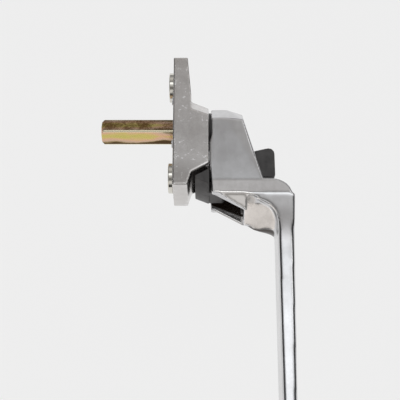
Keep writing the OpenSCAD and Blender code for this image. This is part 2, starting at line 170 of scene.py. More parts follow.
@dataclass(frozen=True)
class Patch:
    """A patch of painted light or painted shade on a casting, lighter, darker or duller than the rest, in
    millimetres.

    It lies round a line on the surface, on the faces that look about one way. Its colour was chosen to agree
    with the photograph.
    """

    start: tuple[float, float, float]
    end: tuple[float, float, float]
    reach: float
    facing: tuple[float, float, float]
    colour: tuple[float, float, float]
    spread: tuple[float, float] = (0.80, 0.95)
    core: float = 0.75
    matt: bool = False

    def mirrored(self) -> "Patch":
        """Returns the same patch on the other side of the handle."""
        flip = Vector((1.0, -1.0, 1.0))
        start, end, facing = (tuple(Vector(point) * flip) for point in (self.start, self.end, self.facing))
        return replace(self, start=start, end=end, facing=facing)

    def distance(self, tree: NodeTree, place: bpy.types.NodeSocket) -> bpy.types.NodeSocket:
        """Adds the distance from the patch's line.

        Args:
            tree: the material's tree.
            place: the socket with the point, in metres.

        Returns:
            The socket with the distance, in metres.
        """
        line = (Vector(self.end) - Vector(self.start)) * MM
        offset = tree.add("ShaderNodeVectorMath", operation="SUBTRACT")
        tree.link(place, offset.inputs[0])
        offset.inputs[1].default_value = Vector(self.start) * MM
        along = tree.add("ShaderNodeVectorMath", operation="DOT_PRODUCT")
        tree.link(offset.outputs["Vector"], along.inputs[0])
        along.inputs[1].default_value = line.normalized()
        share = tree.add("ShaderNodeMapRange")
        tree.feed(share, Value=along.outputs["Value"], From_Max=line.length)
        foot = tree.add("ShaderNodeVectorMath", operation="SCALE")
        foot.inputs[0].default_value = line
        tree.link(share.outputs["Result"], foot.inputs["Scale"])
        away = tree.add("ShaderNodeVectorMath", operation="DISTANCE")
        tree.link(offset.outputs["Vector"], away.inputs[0])
        tree.link(foot.outputs["Vector"], away.inputs[1])
        return away.outputs["Value"]

    def mask(self, tree: NodeTree) -> bpy.types.NodeSocket:
        """Adds the patch's mask to a material.

        Args:
            tree: the material's tree.

        Returns:
            The socket that is one inside the patch and fades out at its border.
        """
        place = tree.add("ShaderNodeTexCoord")
        near = tree.add("ShaderNodeMapRange", interpolation_type="SMOOTHSTEP")
        tree.feed(near, Value=self.distance(tree, place.outputs["Object"]), To_Min=1.0, To_Max=0.0,
                  From_Min=self.core * self.reach * MM, From_Max=self.reach * MM)
        along = tree.add("ShaderNodeVectorMath", operation="DOT_PRODUCT")
        tree.link(place.outputs["Normal"], along.inputs[0])
        along.inputs[1].default_value = Vector(self.facing).normalized()
        turned = tree.add("ShaderNodeMapRange", interpolation_type="SMOOTHSTEP")
        tree.feed(turned, Value=along.outputs["Value"], From_Min=self.spread[0], From_Max=self.spread[1])
        both = tree.add("ShaderNodeMath", operation="MULTIPLY")
        tree.link(near.outputs["Result"], both.inputs[0])
        tree.link(turned.outputs["Result"], both.inputs[1])
        return both.outputs[0]


# Painted light on the far inner wall of the hollow under the neck.
HOLLOW_WALL_PAINTED_LIGHT = Patch(start=(21.0, 9.4, -33.4), end=(29.0, 9.4, -37.6), reach=3.2, facing=(0.0, -1.0, 0.0),
                    colour=(0.95, 0.94, 0.93), core=0.6)
# Painted shade, near black and matt, deep in the hollow on its far wall.
HOLLOW_DEEP_PAINTED_SHADE = Patch(start=(17.0, 9.4, -28.0), end=(29.0, 9.4, -33.0), reach=2.9, facing=(0.0, -1.0, 0.0),
                    colour=(0.016, 0.010, 0.006), matt=True)
# Painted light on the outer face of the near wall beside the hollow.
OUTER_WALL_PAINTED_LIGHT = Patch(start=(21.0, -11.5, -33.8), end=(31.0, -11.5, -37.0), reach=5.0,
                   facing=(0.0, -0.96, -0.28), colour=(0.98, 0.95, 0.92), spread=(0.93, 0.98))
# Painted light, matt, where the near wall ends on the flank.
WALL_END_PAINTED_LIGHT = Patch(start=(31.6, -10.5, -34.4), end=(31.4, -9.0, -38.8), reach=2.8, facing=(0.1, -0.8, -0.5),
                 colour=(0.98, 0.94, 0.90), spread=(-0.1, 0.3), core=0.5, matt=True)
# Painted shade over the highlight where the grip's flare ends.
GRIP_HEEL_PAINTED_SHADE = Patch(start=(45.0, -11.0, -46.0), end=(53.0, -11.0, -47.0), reach=10.0, facing=(0.0, -1.0, -0.12),
                  colour=(0.43, 0.42, 0.42), spread=(0.75, 0.95), core=0.2)
# Painted shade: a dark band on the elbow's concave underside.
ELBOW_PAINTED_SHADE = Patch(start=(38.5, -13.0, -38.0), end=(38.5, 13.0, -38.0), reach=8.5, facing=(-0.7, 0.0, -0.7),
                    colour=(0.20, 0.195, 0.19), spread=(0.86, 0.96))
# Painted shade on the keel's lower facet beside the grip.
KEEL_FACET_PAINTED_SHADE = Patch(start=(37.0, 0.0, -45.5), end=(42.0, 0.0, -46.5), reach=7.0, facing=(-0.21, 0.0, -0.98),
                   colour=(0.10, 0.09, 0.085), spread=(0.7, 0.88))
# Painted shade, darker towards the lower end of the plate's sides.
PLATE_FOOT_PAINTED_SHADE = Patch(start=(2.0, -13.0, -27.0), end=(9.0, -13.0, -28.0), reach=11.0, facing=(0.0, -1.0, 0.0),
                   colour=(0.42, 0.40, 0.385), core=0.15)
# The painted light and shade that the lever has on both sides.
SIDE_PAINTED_PATCHES = (HOLLOW_WALL_PAINTED_LIGHT, HOLLOW_DEEP_PAINTED_SHADE, OUTER_WALL_PAINTED_LIGHT, WALL_END_PAINTED_LIGHT, GRIP_HEEL_PAINTED_SHADE)


@dataclass(frozen=True)
class Finish:
    """A finish whose colour, gloss and relief vary over the surface.

    Colours run from the dark to the light end of the shared mottle effect, under painted light and shade.
    """

    name: str
    dark: tuple[float, float, float]
    light: tuple[float, float, float]
    metallic: float
    rough_low: float
    rough_high: float
    relief: float
    blotch: float = 140.0
    grain: float = 1400.0
    streak: float = 60.0
    span: tuple[float, float] = (0.45, 0.85)
    # Painted shade in recesses, by ambient occlusion: its colour, and the openness where it fades out.
    recess_shade: tuple[float, float, float] | None = None
    deep: float = 0.34
    speck: tuple[float, float, float] | None = None
    # Patches of painted light and painted shade.
    patches: tuple[Patch, ...] = ()
    bump: float = 0.35
    open_span: tuple[float, float] = (0.42, 0.82)
    recess_metal: float = 0.15
    matt_metal: float = 0.05
    recess_start: float = 0.05

    def material(self, mottle: bpy.types.ShaderNodeTree) -> bpy.types.Material:
        """Builds the material.

        Args:
            mottle: the shared surface effect.

        Returns:
            A node material for this finish.
        """
        made = bpy.data.materials.new(self.name)
        made.use_nodes = True
        tree = NodeTree(made.node_tree)
        effect = tree.add("ShaderNodeGroup", node_tree=mottle)
        tree.feed(effect, Blotch_Scale=self.blotch, Grain_Scale=self.grain, Streak_Scale=self.streak)
        masks = [patch.mask(tree) for patch in self.patches]
        shader = tree.add("ShaderNodeBsdfPrincipled")
        if self.recess_shade is None:
            shader.inputs["Metallic"].default_value = self.metallic
        else:
            tree.link(self.polished(tree, effect, masks), shader.inputs["Metallic"])
        tinted = self.shaded_in_recesses(tree, effect, self.colour(tree, effect))
        tree.feed(shader, Base_Color=self.spotted(tree, effect, masks, tinted))
        rough = tree.add("ShaderNodeMapRange")
        tree.feed(rough, Value=effect.outputs["Wear"], To_Min=self.rough_low, To_Max=self.rough_high)
        tree.link(rough.outputs["Result"], shader.inputs["Roughness"])
        bump = tree.add("ShaderNodeBump")
        tree.feed(bump, Strength=self.bump, Distance=self.relief * MM, Height=effect.outputs["Height"])
        tree.link(bump.outputs["Normal"], shader.inputs["Normal"])
        output = tree.add("ShaderNodeOutputMaterial")
        tree.link(shader.outputs["BSDF"], output.inputs["Surface"])
        return made

    def colour(self, tree: NodeTree, effect: bpy.types.Node) -> bpy.types.NodeSocket:
        """Adds the colour part of the material.

        Args:
            tree: the material's tree.
            effect: the mottle group's node.

        Returns:
            The socket that carries the base colour.
        """
        ramp = tree.add("ShaderNodeValToRGB")
        ramp.color_ramp.elements[0].position = self.span[0]
        ramp.color_ramp.elements[0].color = (*self.dark, 1.0)
        ramp.color_ramp.elements[1].position = self.span[1]
        ramp.color_ramp.elements[1].color = (*self.light, 1.0)
        tree.link(effect.outputs["Tint"], ramp.inputs["Fac"])
        return ramp.outputs["Color"]

    def polished(self, tree: NodeTree, effect: bpy.types.Node,
                 masks: list[bpy.types.NodeSocket]) -> bpy.types.NodeSocket:
        """Adds the share of bare polished metal, which is low in recesses and on matt patches.

        Args:
            tree: the material's tree.
            effect: the mottle group's node.
            masks: the masks of the patches.

        Returns:
            The socket with the share.
        """
        polish = tree.add("ShaderNodeMapRange")
        tree.feed(polish, Value=effect.outputs["Openness"], From_Min=self.open_span[0],
                  From_Max=self.open_span[1], To_Min=self.recess_metal, To_Max=self.metallic)
        share = polish.outputs["Result"]
        for patch, mask in zip(self.patches, masks):
            if patch.matt:
                rest = tree.add("ShaderNodeMapRange")
                tree.feed(rest, Value=mask, To_Min=1.0, To_Max=self.matt_metal)
                less = tree.add("ShaderNodeMath", operation="MULTIPLY")
                tree.link(share, less.inputs[0])
                tree.link(rest.outputs["Result"], less.inputs[1])
                share = less.outputs[0]
        return share

    def spotted(self, tree: NodeTree, effect: bpy.types.Node, masks: list[bpy.types.NodeSocket],
                plain: bpy.types.NodeSocket) -> bpy.types.NodeSocket:
        """Adds the patches of painted light and shade, and the specks of the casting's skin.

        Args:
            tree: the material's tree.
            effect: the mottle group's node.
            masks: the masks of the patches.
            plain: the socket with the plain colour.

        Returns:
            The socket with the colour to use.
        """
        for patch, mask in zip(self.patches, masks):
            plain = self.blended(tree, mask, plain, patch.colour)
        if self.speck is not None:
            plain = self.blended(tree, effect.outputs["Specks"], plain, self.speck)
        return plain

    @staticmethod
    def blended(tree: NodeTree, mask: bpy.types.NodeSocket, under: bpy.types.NodeSocket,
                over: tuple[float, float, float]) -> bpy.types.NodeSocket:
        """Lays one colour over another.

        Args:
            tree: the material's tree.
            mask: the socket that tells where the upper colour shows.
            under: the socket with the lower colour.
            over: the upper colour.

        Returns:
            The socket with the mixed colour.
        """
        mix = tree.add("ShaderNodeMix", data_type="RGBA")
        tree.link(mask, mix.inputs["Factor"])
        tree.link(under, mix.inputs[6])
        mix.inputs[7].default_value = (*over, 1.0)
        return mix.outputs[2]

    def shaded_in_recesses(self, tree: NodeTree, effect: bpy.types.Node,
               unshaded: bpy.types.NodeSocket) -> bpy.types.NodeSocket:
        """Darkens the colour in recesses, where the ambient occlusion finds them: painted shade.

        Args:
            tree: the material's tree.
            effect: the mottle group's node.
            unshaded: the socket with the colour before the painted shade.

        Returns:
            The socket with the colour to use.
        """
        if self.recess_shade is None:
            return unshaded
        recess = tree.add("ShaderNodeMapRange")
        tree.feed(recess, Value=effect.outputs["Openness"], From_Min=self.recess_start, From_Max=self.deep,
                  To_Min=1.0, To_Max=0.0)
        return self.blended(tree, recess.outputs["Result"], unshaded, self.recess_shade)


@dataclass(frozen=True)
class PassivatedZinc(Finish):
    """Yellow passivate on a square bar, whose film goes from gold to pink and brown from a face's middle.

    The light colour is in a face's middle, the dark one at the film's end near the edges, as painted shade
    along each edge. Close to the plate the film is thicker, from the first to the second place along the bar
    in blush, by its third value. Two opposite faces are stained, and a painted highlight runs along the
    edges. Places are in millimetres.
    """

    film: tuple[tuple[float, tuple[float, float, float]], ...] = (
        (0.9, (0.70, 0.56, 0.20)),
        (1.9, (0.78, 0.49, 0.32)),
        (2.9, (0.66, 0.48, 0.36)),
        (3.5, (0.34, 0.25, 0.12)),
    )
    film_end: float = 3.9
    film_span: float = 4.0
    film_shift: float = 0.9
    ripple: float = 1.3
    blush: tuple[float, float, float] = (-11.0, -3.0, 1.5)
    turn: float = 25.0
    stain: tuple[float, float, float] = (0.20, 0.10, 0.035)
    stained: tuple[float, float, float] = (0.0, -0.906, 0.423)
    # Painted highlight along the bar's edges: its colour, and the radii over which it fades in.
    edge_highlight: tuple[float, float, float] = (0.98, 0.90, 0.66)
    edge: tuple[float, float] = (5.12, 5.26)
    ripple_scale: float = 300.0
    ripple_stretch: float = 0.25
    ripple_span: tuple[float, float] = (0.2, 0.8)
    stain_scale: float = 1100.0
    cloud_scale: float = 170.0
    stain_span: tuple[float, float] = (0.80, 1.18)
    stain_most: float = 0.96
    stain_facing: tuple[float, float] = (0.6, 0.9)

    def colour(self, tree: NodeTree, effect: bpy.types.Node) -> bpy.types.NodeSocket:
        """Adds the film's colours, the stains and the painted highlight along the edges.

        Args:
            tree: the material's tree.
            effect: the mottle group's node, not used here.

        Returns:
            The socket that carries the base colour.
        """
        place = tree.add("ShaderNodeTexCoord")
        across = tree.add("ShaderNodeMapping")
        tree.feed(across, Vector=place.outputs["Object"], Rotation=(math.radians(self.turn), 0.0, 0.0),
                  Scale=(0.0, 1.0, 1.0))
        film = self.film_colour(tree, place, across)
        stained = self.blended(tree, self.stains(tree, place), film, self.stain)
        # The painted highlight along the edges, outside a radius from the bar's axis.
        radius = tree.add("ShaderNodeVectorMath", operation="LENGTH")
        tree.link(across.outputs["Vector"], radius.inputs[0])
        edge = tree.add("ShaderNodeMapRange", interpolation_type="SMOOTHSTEP")
        tree.feed(edge, Value=radius.outputs["Value"], From_Min=self.edge[0] * MM, From_Max=self.edge[1] * MM)
        return self.blended(tree, edge.outputs["Result"], stained, self.edge_highlight)

    def film_colour(self, tree: NodeTree, place: bpy.types.Node,
                    across: bpy.types.Node) -> bpy.types.NodeSocket:
        """Adds the film's colours, which depend on the distance from a face's middle line.

        Args:
            tree: the material's tree.
            place: the coordinate node.
            across: the node with the place across the bar, turned to its faces.

        Returns:
            The socket with the film's colour.
        """
        shifted = tree.add("ShaderNodeVectorMath", operation="ADD")
        tree.link(across.outputs["Vector"], shifted.inputs[0])
        shifted.inputs[1].default_value = (0.0, self.film_shift * MM, 0.0)
        sides = tree.add("ShaderNodeVectorMath", operation="ABSOLUTE")
        tree.link(shifted.outputs["Vector"], sides.inputs[0])
        parts = tree.add("ShaderNodeSeparateXYZ")
        tree.link(sides.outputs["Vector"], parts.inputs["Vector"])
        off = tree.add("ShaderNodeMath", operation="MINIMUM")
        tree.link(parts.outputs["Y"], off.inputs[0])
        tree.link(parts.outputs["Z"], off.inputs[1])
        stretch = tree.add("ShaderNodeMapping")
        tree.feed(stretch, Vector=place.outputs["Object"], Scale=(self.ripple_stretch, 1.0, 1.0))
        noise = tree.add("ShaderNodeTexNoise")
        tree.feed(noise, Vector=stretch.outputs["Vector"], Scale=self.ripple_scale, Detail=4.0, Roughness=0.6)
        shift = tree.add("ShaderNodeMapRange")
        tree.feed(shift, Value=noise.outputs["Fac"], From_Min=self.ripple_span[0],
                  From_Max=self.ripple_span[1], To_Min=-self.ripple * MM, To_Max=self.ripple * MM)
        moved = tree.add("ShaderNodeMath", operation="ADD")
        tree.link(off.outputs[0], moved.inputs[0])
        tree.link(shift.outputs["Result"], moved.inputs[1])
        along = tree.add("ShaderNodeSeparateXYZ")
        tree.link(place.outputs["Object"], along.inputs["Vector"])
        blush = tree.add("ShaderNodeMapRange", interpolation_type="SMOOTHSTEP")
        tree.feed(blush, Value=along.outputs["X"], From_Min=self.blush[0] * MM, From_Max=self.blush[1] * MM,
                  To_Max=self.blush[2] * MM)
        thicker = tree.add("ShaderNodeMath", operation="ADD")
        tree.link(moved.outputs[0], thicker.inputs[0])
        tree.link(blush.outputs["Result"], thicker.inputs[1])
        share = tree.add("ShaderNodeMapRange")
        tree.feed(share, Value=thicker.outputs[0], From_Max=self.film_span * MM)
        ramp = tree.add("ShaderNodeValToRGB")
        stops = ramp.color_ramp.elements
        film = ((0.0, self.light), *self.film, (self.film_end, self.dark))
        while len(stops) < len(film):
            stops.new(0.5)
        for stop, (position, colour) in zip(stops, film):
            stop.position = position / self.film_span
            stop.color = (*colour, 1.0)
        tree.link(share.outputs["Result"], ramp.inputs["Fac"])
        return ramp.outputs["Color"]

    def stains(self, tree: NodeTree, place: bpy.types.Node) -> bpy.types.NodeSocket:
        """Adds the mask of the fine brown stains on two opposite faces.

        Args:
            tree: the material's tree.
            place: the coordinate node.

        Returns:
            The socket with the mask.
        """
        noise = tree.add("ShaderNodeTexNoise")
        tree.feed(noise, Vector=place.outputs["Object"], Scale=self.stain_scale, Detail=4.0, Roughness=0.8)
        cloud = tree.add("ShaderNodeTexNoise")
        tree.feed(cloud, Vector=place.outputs["Object"], Scale=self.cloud_scale, Detail=2.0)
        spread = tree.add("ShaderNodeMath", operation="ADD")
        tree.link(noise.outputs["Fac"], spread.inputs[0])
        tree.link(cloud.outputs["Fac"], spread.inputs[1])
        spots = tree.add("ShaderNodeMapRange", interpolation_type="SMOOTHSTEP")
        tree.feed(spots, Value=spread.outputs[0], From_Min=self.stain_span[0], From_Max=self.stain_span[1],
                  To_Max=self.stain_most)
        along = tree.add("ShaderNodeVectorMath", operation="DOT_PRODUCT")
        tree.link(place.outputs["Normal"], along.inputs[0])
        along.inputs[1].default_value = self.stained
        either = tree.add("ShaderNodeMath", operation="ABSOLUTE")
        tree.link(along.outputs["Value"], either.inputs[0])
        turned = tree.add("ShaderNodeMapRange", interpolation_type="SMOOTHSTEP")
        tree.feed(turned, Value=either.outputs[0], From_Min=self.stain_facing[0],
                  From_Max=self.stain_facing[1])
        both = tree.add("ShaderNodeMath", operation="MULTIPLY")
        tree.link(spots.outputs["Result"], both.inputs[0])
        tree.link(turned.outputs["Result"], both.inputs[1])
        return both.outputs[0]


class Finishes(Enum):
    """Every finish on the handle."""

    # The castings' recess colours are painted shade, and their patches painted light and shade.
    BASE_CASTING = Finish("satin_base_casting", dark=(0.57, 0.55, 0.535), light=(0.70, 0.68, 0.67),
                          metallic=1.0, rough_low=0.20, rough_high=0.27, relief=0.05, blotch=90.0,
                          recess_shade=(0.12, 0.11, 0.10), speck=(0.86, 0.86, 0.86),
                          patches=(PLATE_FOOT_PAINTED_SHADE, PLATE_FOOT_PAINTED_SHADE.mirrored()))
    LEVER_CASTING = Finish("satin_lever_casting", dark=(0.58, 0.575, 0.58), light=(0.70, 0.70, 0.71),
                           metallic=1.0, rough_low=0.17, rough_high=0.24, relief=0.010, blotch=90.0,
                           recess_shade=(0.022, 0.016, 0.011), deep=0.42,
                           patches=(ELBOW_PAINTED_SHADE, KEEL_FACET_PAINTED_SHADE, *SIDE_PAINTED_PATCHES,
                                    *(patch.mirrored() for patch in SIDE_PAINTED_PATCHES)))
    TURNED = Finish("turned_lug_steel", dark=(0.58, 0.56, 0.51), light=(0.76, 0.74, 0.68), metallic=1.0,
                    rough_low=0.04, rough_high=0.08, relief=0.01, grain=2600.0)
    BRIGHT = Finish("bright_steel", dark=(0.50, 0.51, 0.52), light=(0.70, 0.71, 0.72), metallic=1.0,
                    rough_low=0.18, rough_high=0.30, relief=0.02)
    PLATED = Finish("zinc_plated_steel", dark=(0.48, 0.49, 0.50), light=(0.68, 0.69, 0.71), metallic=1.0,
                    rough_low=0.28, rough_high=0.42, relief=0.03)
    DARK = Finish("phosphated_steel", dark=(0.10, 0.10, 0.105), light=(0.20, 0.20, 0.205), metallic=1.0,
                  rough_low=0.40, rough_high=0.55, relief=0.03)
    # Its dark colour, at the film's end near the edges, is painted shade along each edge.
    PASSIVATED = PassivatedZinc("yellow_passivate", dark=(0.10, 0.06, 0.03), light=(0.63, 0.56, 0.17),
                                metallic=1.0, rough_low=0.20, rough_high=0.34, relief=0.03)
    MOULDED = Finish("moulded_black", dark=(0.047, 0.044, 0.044), light=(0.104, 0.100, 0.099), metallic=0.0,
                     rough_low=0.38, rough_high=0.55, relief=0.05)


class Paints:
    """Makes each finish's material once."""

    def __init__(self) -> None:
        """Starts with the shared effect and no materials."""
        self.mottle = mottle_group()
        self.made: dict[Finishes, bpy.types.Material] = {}

    def of(self, finish: Finishes) -> bpy.types.Material:
        """Returns the finish's material, built at its first use."""
        if finish not in self.made:
            self.made[finish] = finish.value.material(self.mottle)
        return self.made[finish]


@dataclass
class SolidPiece:
    """A rigid piece that takes the shape of one solid."""

    node: str
    body: Body
    slot: str
    finish: Finishes

    def build(self, paints: Paints) -> bpy.types.Object:
        """Builds the piece, gives it its finish and puts it in the solid's place.

        Args:
            paints: the materials.

        Returns:
            The finished object.
        """
        piece = bpy.data.objects.new(f"{self.node}_piece", self.clean_mesh())
        bpy.context.collection.objects.link(piece)
        self.shape(piece)
        piece.data.materials.append(paints.of(self.finish))
        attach(piece, self.body.value)
        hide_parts(self.node)
        LOG.info("%s: %d faces", piece.name, len(piece.data.polygons))
        return piece

    def clean_mesh(self) -> bpy.types.Mesh:
        """Copies the solid's mesh, merges it and joins its flat triangles.

        Returns:
            A closed mesh with no material.
        """
        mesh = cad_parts[self.node].data.copy()
        mesh.name = f"{self.node}_mesh"
        mesh.materials.clear()
        work = bmesh.new()
        work.from_mesh(mesh)
        bmesh.ops.remove_doubles(work, verts=work.verts, dist=MERGE_DISTANCE)
        bmesh.ops.dissolve_limit(work, angle_limit=FLAT_ANGLE, verts=work.verts, edges=work.edges)
        bmesh.ops.recalc_face_normals(work, faces=work.faces)
        work.to_mesh(mesh)
        work.free()
        return mesh

    def shape(self, piece: bpy.types.Object) -> None:
        """Leaves the solid's shape as it is and shades it.

        Args:
            piece: the object, which has the solid's mesh.
        """
        smooth(piece, SOLID_CREASE)


@dataclass
class TurnedPiece(SolidPiece):
    """A machined piece, whose sharp edges are broken by a small even bevel."""

    edge_mm: float = 0.3
    segments: int = 3
    edge_angle: float = 24.0

    def shape(self, piece: bpy.types.Object) -> None:
        """Bevels the sharp edges.

        Args:
            piece: the object, which has the solid's mesh.
        """
        bevel = piece.modifiers.new("broken_edges", "BEVEL")
        bevel.width = self.edge_mm * MM
        bevel.segments = self.segments
        bevel.limit_method = "ANGLE"
        bevel.angle_limit = math.radians(self.edge_angle)
        bake(piece)
        super().shape(piece)


@dataclass(frozen=True)
class SoftZone:
    """A region of a casting that is rounded more than the rest, in millimetres."""

    low: tuple[float, float, float]
    high: tuple[float, float, float]
    fade: float
    passes: int

    def weight(self, point: Vector) -> float:
        """Tells how far a point, in metres, lies inside the region: zero outside, one well inside."""
        spans = zip(self.low, point, self.high)
        depth = min(min(value / MM - low, high - value / MM) for low, value, high in spans)
        return max(0.0, min(1.0, depth / self.fade))

    def soften(self, piece: bpy.types.Object) -> None:
        """Rounds the region further.

        Args:
            piece: the object, which has a fine even mesh.
        """
        group = piece.vertex_groups.new(name="soft_zone")
        for vertex in piece.data.vertices:
            share = self.weight(vertex.co)
            if share > 0.0:
                group.add([vertex.index], share, "REPLACE")
        wear = piece.modifiers.new("soft_zone", "SMOOTH")
        wear.vertex_group = group.name
        wear.factor = SMOOTH_FACTOR
        wear.iterations = self.passes
        bake(piece)
        piece.vertex_groups.clear()


@dataclass(frozen=True)
class Flare:
    """The widening of the grip towards its top, eased where it ends, in millimetres.

    The half width falls evenly from the top to the foot of the flare. Below a straight part, the fall is
    slowed down so that it ends without a crease.
    """

    from_x: float
    fade: float
    top_z: float
    straight: float
    depth: float
    half_top: float
    half_foot: float

    def even(self, depth: float) -> float:
        """Returns the half width at a depth below the top, with the crease."""
        share = min(1.0, max(0.0, depth / self.depth))
        return self.half_top + (self.half_foot - self.half_top) * share

    def eased(self, depth: float) -> float:
        """Returns the half width at a depth below the top, without the crease."""
        if depth <= self.straight:
            return self.even(depth)
        run = 2.0 * (self.depth - self.straight)
        left = max(0.0, 1.0 - (depth - self.straight) / run)
        return self.half_foot + (self.even(self.straight) - self.half_foot) * left * left

    def apply(self, piece: bpy.types.Object) -> None:
        """Moves the grip's sides from the even to the eased width.

        Args:
            piece: the object, which has a fine even mesh.
        """
        for vertex in piece.data.vertices:
            inside = (vertex.co.x / MM - self.from_x) / self.fade
            depth = self.top_z - vertex.co.z / MM
            if inside > 0.0 and depth > self.straight:
                gain = self.eased(depth) / self.even(depth) - 1.0
                vertex.co.y *= 1.0 + gain * min(1.0, inside)


@dataclass(frozen=True)
class BackRim:
    """A low rim on the back edges of the neck's sides, in millimetres.

    The photograph shows no light through the running gap to the hub, so the rim hides it. It fades out over a
    length at either end of its span.
    """

    back_x: float
    height: float
    root: float
    half_inside: float
    span_z: tuple[float, float]
    fades: tuple[float, float]

    def apply(self, piece: bpy.types.Object) -> None:
        """Draws the back edges of the neck's sides out into the rim.

        Args:
            piece: the object, which has a fine even mesh.
        """
        for vertex in piece.data.vertices:
            x, y, z = (value / MM for value in vertex.co)
            depth = min(1.0, (self.back_x + self.root - x) / self.root)
            aside = min(1.0, abs(y) - self.half_inside)
            below = (z - self.span_z[0]) / self.fades[0]
            above = (self.span_z[1] - z) / self.fades[1]
            inside = min(1.0, below, above)
            if min(depth, aside, inside) > 0.0:
                vertex.co.x -= self.height * depth * aside * inside * MM


@dataclass
class CastPiece(SolidPiece):
    """A cast or moulded piece, whose edges are rounded evenly, as by polishing."""

    skin_mm: float = 0.4
    passes: int = 6
    zones: tuple[SoftZone, ...] = ()
    forms: tuple[Flare | BackRim, ...] = ()

    def shape(self, piece: bpy.types.Object) -> None:
        """Gives the solid a fine even skin and wears its edges round.

        Args:
            piece: the object, which has the solid's mesh.
        """
        skin = piece.modifiers.new("even_skin", "REMESH")
        skin.mode = "VOXEL"
        skin.voxel_size = self.skin_mm * MM
        wear = piece.modifiers.new("worn_edges", "SMOOTH")
        wear.factor = SMOOTH_FACTOR
        wear.iterations = self.passes
        bake(piece)
        for form in self.forms:
            form.apply(piece)
        for zone in self.zones:
            zone.soften(piece)
        for polygon in piece.data.polygons:
            polygon.use_smooth = True


def bake(piece: bpy.types.Object) -> None:
    """Turns an object's modifiers into a plain mesh."""
    graph = bpy.context.evaluated_depsgraph_get()
    mesh = bpy.data.meshes.new_from_object(piece.evaluated_get(graph))
    piece.modifiers.clear()
    piece.data = mesh


def smooth(piece: bpy.types.Object, angle: float) -> None:
    """Shades an object smooth across every edge flatter than the angle, and keeps its flat faces flat.

    Args:
        piece: the object, which has a plain mesh.
        angle: the angle between two faces, in radians, above which their edge stays sharp.
    """
    for polygon in piece.data.polygons:
        polygon.use_smooth = True
    piece.data.set_sharp_from_angle(angle=angle)
    weighted = piece.modifiers.new("flat_faces", "WEIGHTED_NORMAL")
    weighted.mode = "FACE_AREA"
    weighted.weight = FLAT_FACE_WEIGHT
    weighted.keep_sharp = True
    bake(piece)


class GeometryTree(NodeTree):
    """A geometry tree with named inputs, whose result is baked into a plain mesh."""

    def __init__(self, name: str) -> None:
        """Makes an empty tree with a geometry output."""
        super().__init__(bpy.data.node_groups.new(name, "GeometryNodeTree"))
        self.tree.interface.new_socket("Geometry", in_out="OUTPUT", socket_type="NodeSocketGeometry")
        self.values: dict[str, float] = {}
        self.source = self.add("NodeGroupInput")

    def number(self, name: str, value: float) -> bpy.types.NodeSocket:
        """Adds a named number.

        Args:
            name: the input's name.
            value: its value.

        Returns:
            The output of the group input node that carries it.
        """
        socket = self.tree.interface.new_socket(name, in_out="INPUT", socket_type="NodeSocketFloat")
        self.values[socket.identifier] = value
        return self.source.outputs[name]

    def end(self, shape: bpy.types.NodeSocket, material: bpy.types.Material) -> None:
        """Closes the tree: real geometry, its material and the output."""
        real = self.add("GeometryNodeRealizeInstances")
        self.link(shape, real.inputs["Geometry"])
        paint = self.add("GeometryNodeSetMaterial")
        paint.inputs["Material"].default_value = material
        self.link(real.outputs["Geometry"], paint.inputs["Geometry"])
        output = self.add("NodeGroupOutput")
        self.link(paint.outputs["Geometry"], output.inputs["Geometry"])

    def piece(self, name: str) -> bpy.types.Object:
        """Runs the tree with its named values and bakes the result.

        Args:
            name: the object's name.

        Returns:
            An object with a plain mesh and no modifier.
        """
        made = bpy.data.objects.new(name, bpy.data.meshes.new(f"{name}_mesh"))
        bpy.context.collection.objects.link(made)
        modifier = made.modifiers.new("pattern", "NODES")
        modifier.node_group = self.tree
        for identifier, value in self.values.items():
            modifier[identifier] = value
        bake(made)
        smooth(made, PATTERN_CREASE)
        LOG.info("%s: %d faces", name, len(made.data.polygons))
        return made


@dataclass
class WireCoils:
    """Round wire wound round axes along X, one coil at each of two places across the handle."""

    name: str
    coil_mm: float
    wire_mm: float
    turns: float
    start_mm: float
    length_mm: float
    spread: tuple[float, float, float]
    finish: Finishes
    slot: str
    replaces: str | None = None
    steps: int = 28
    sides: int = 8

    def build(self, paints: Paints) -> bpy.types.Object:
        """Winds the coils and hangs them on the base.

        Args:
            paints: the materials.

        Returns:
            The finished object.
        """
        tree = GeometryTree(self.name)
        radius = tree.number("Coil Radius", self.coil_mm * MM)
        wire = tree.number("Wire Radius", self.wire_mm * MM)
        turns = tree.number("Turns", self.turns)
        length = tree.number("Length", self.length_mm * MM)
        spiral = tree.add("GeometryNodeCurveSpiral")
        tree.feed(spiral, Resolution=self.steps, Rotations=turns, Start_Radius=radius, End_Radius=radius,
                  Height=length)
        section = tree.add("GeometryNodeCurvePrimitiveCircle")
        section.inputs["Resolution"].default_value = self.sides
        tree.link(wire, section.inputs["Radius"])
        sweep = tree.add("GeometryNodeCurveToMesh")
        tree.feed(sweep, Curve=spiral.outputs["Curve"], Profile_Curve=section.outputs["Curve"],
                  Fill_Caps=True)
        lay = tree.add("GeometryNodeTransform")
        tree.feed(lay, Geometry=sweep.outputs["Mesh"], Translation=(self.start_mm * MM, 0.0, 0.0),
                  Rotation=(0.0, math.radians(90.0), 0.0))
        line = tree.add("GeometryNodeMeshLine")
        half = Vector(self.spread) * MM
        tree.feed(line, Count=2, Start_Location=-half, Offset=half * 2)
        place = tree.add("GeometryNodeInstanceOnPoints")
        tree.feed(place, Points=line.outputs["Mesh"], Instance=lay.outputs["Geometry"])
        tree.end(place.outputs["Instances"], paints.of(self.finish))
        piece = tree.piece(self.name)
        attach(piece, Body.BASE.value)
        if self.replaces is not None:
            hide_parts(self.replaces)
        return piece


